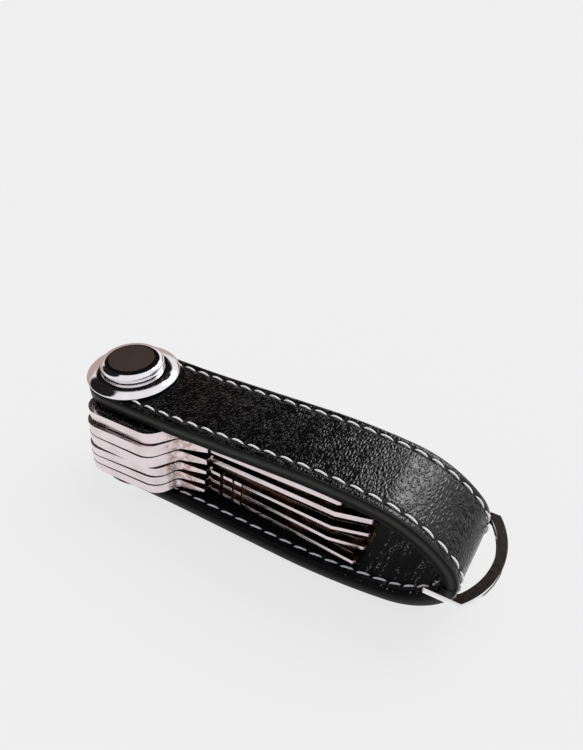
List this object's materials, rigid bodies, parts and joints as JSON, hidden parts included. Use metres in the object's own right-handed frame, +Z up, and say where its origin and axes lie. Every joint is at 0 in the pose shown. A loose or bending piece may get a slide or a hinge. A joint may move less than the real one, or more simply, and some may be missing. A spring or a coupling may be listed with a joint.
{
  "type": "key organizer",
  "caption": "Folded leather strap clamped on a screw post, with flat keys stacked between its ends that swing out like knife blades, and a D-ring held in the fold.",
  "frame": {"origin": "on the screw axis, at the underside of the post's foot", "axes": "+X from the screw towards the fold, +Z up along the screw axis, +Y across the strap"},
  "size_m": [0.0868, 0.0235, 0.0276],
  "materials": {
    "outer_leather": "black pebble grain, painted edges",
    "lining_leather": "black, crinkled",
    "board": "plain board",
    "thread": "waxed white thread",
    "chrome": "mirror",
    "dark_steel": "blackened",
    "washer": "matt black",
    "key_metal": "nickel plated, lightly worn"
  },
  "bodies": {
    "strap": {"outer_leather": "outer_leather", "stiffener": "board", "lining": "lining_leather", "stitching_near": "thread", "stitching_far": "thread", "top_flange": "chrome", "lock_washer": "dark_steel", "barrel_post": "chrome", "bottom_flange": "chrome", "top_spacer": "washer", "bottom_spacer": "washer", "washer_1": "washer", "washer_2": "washer", "washer_3": "washer", "washer_4": "washer", "washer_5": "washer"},
    "screw": {"locking_screw": "chrome"},
    "ring": {"d_ring": "chrome"},
    "key_1": {"key_1": "key_metal"},
    "key_2": {"key_2": "key_metal"},
    "key_3": {"key_3": "key_metal"},
    "key_4": {"key_4": "key_metal"},
    "key_5": {"key_5": "key_metal"},
    "key_6": {"key_6": "key_metal"}
  },
  "joints": [
    {"name": "key_1_swing", "type": "hinge", "parent": "strap", "child": "key_1", "pos_m": [0, 0, 0.01765], "axis": [0, 0, 1], "continuous": true},
    {"name": "key_2_swing", "type": "hinge", "parent": "strap", "child": "key_2", "pos_m": [0, 0, 0.01485], "axis": [0, 0, 1], "continuous": true},
    {"name": "key_3_swing", "type": "hinge", "parent": "strap", "child": "key_3", "pos_m": [0, 0, 0.01205], "axis": [0, 0, 1], "continuous": true},
    {"name": "key_4_swing", "type": "hinge", "parent": "strap", "child": "key_4", "pos_m": [0, 0, 0.0098], "axis": [0, 0, 1], "continuous": true},
    {"name": "key_5_swing", "type": "hinge", "parent": "strap", "child": "key_5", "pos_m": [0, 0, 0.00755], "axis": [0, 0, 1], "continuous": true},
    {"name": "key_6_swing", "type": "hinge", "parent": "strap", "child": "key_6", "pos_m": [0, 0, 0.0053], "axis": [0, 0, 1], "continuous": true},
    {"name": "screw_turn", "type": "hinge", "parent": "strap", "child": "screw", "pos_m": [0, 0, 0.02565], "axis": [0, 0, 1], "range_deg": [0, 720]},
    {"name": "ring_swing", "type": "hinge", "parent": "strap", "child": "ring", "pos_m": [0.06582, 0, 0.01279], "axis": [0, -1, 0], "range_deg": [-40, 55]}
  ]
}
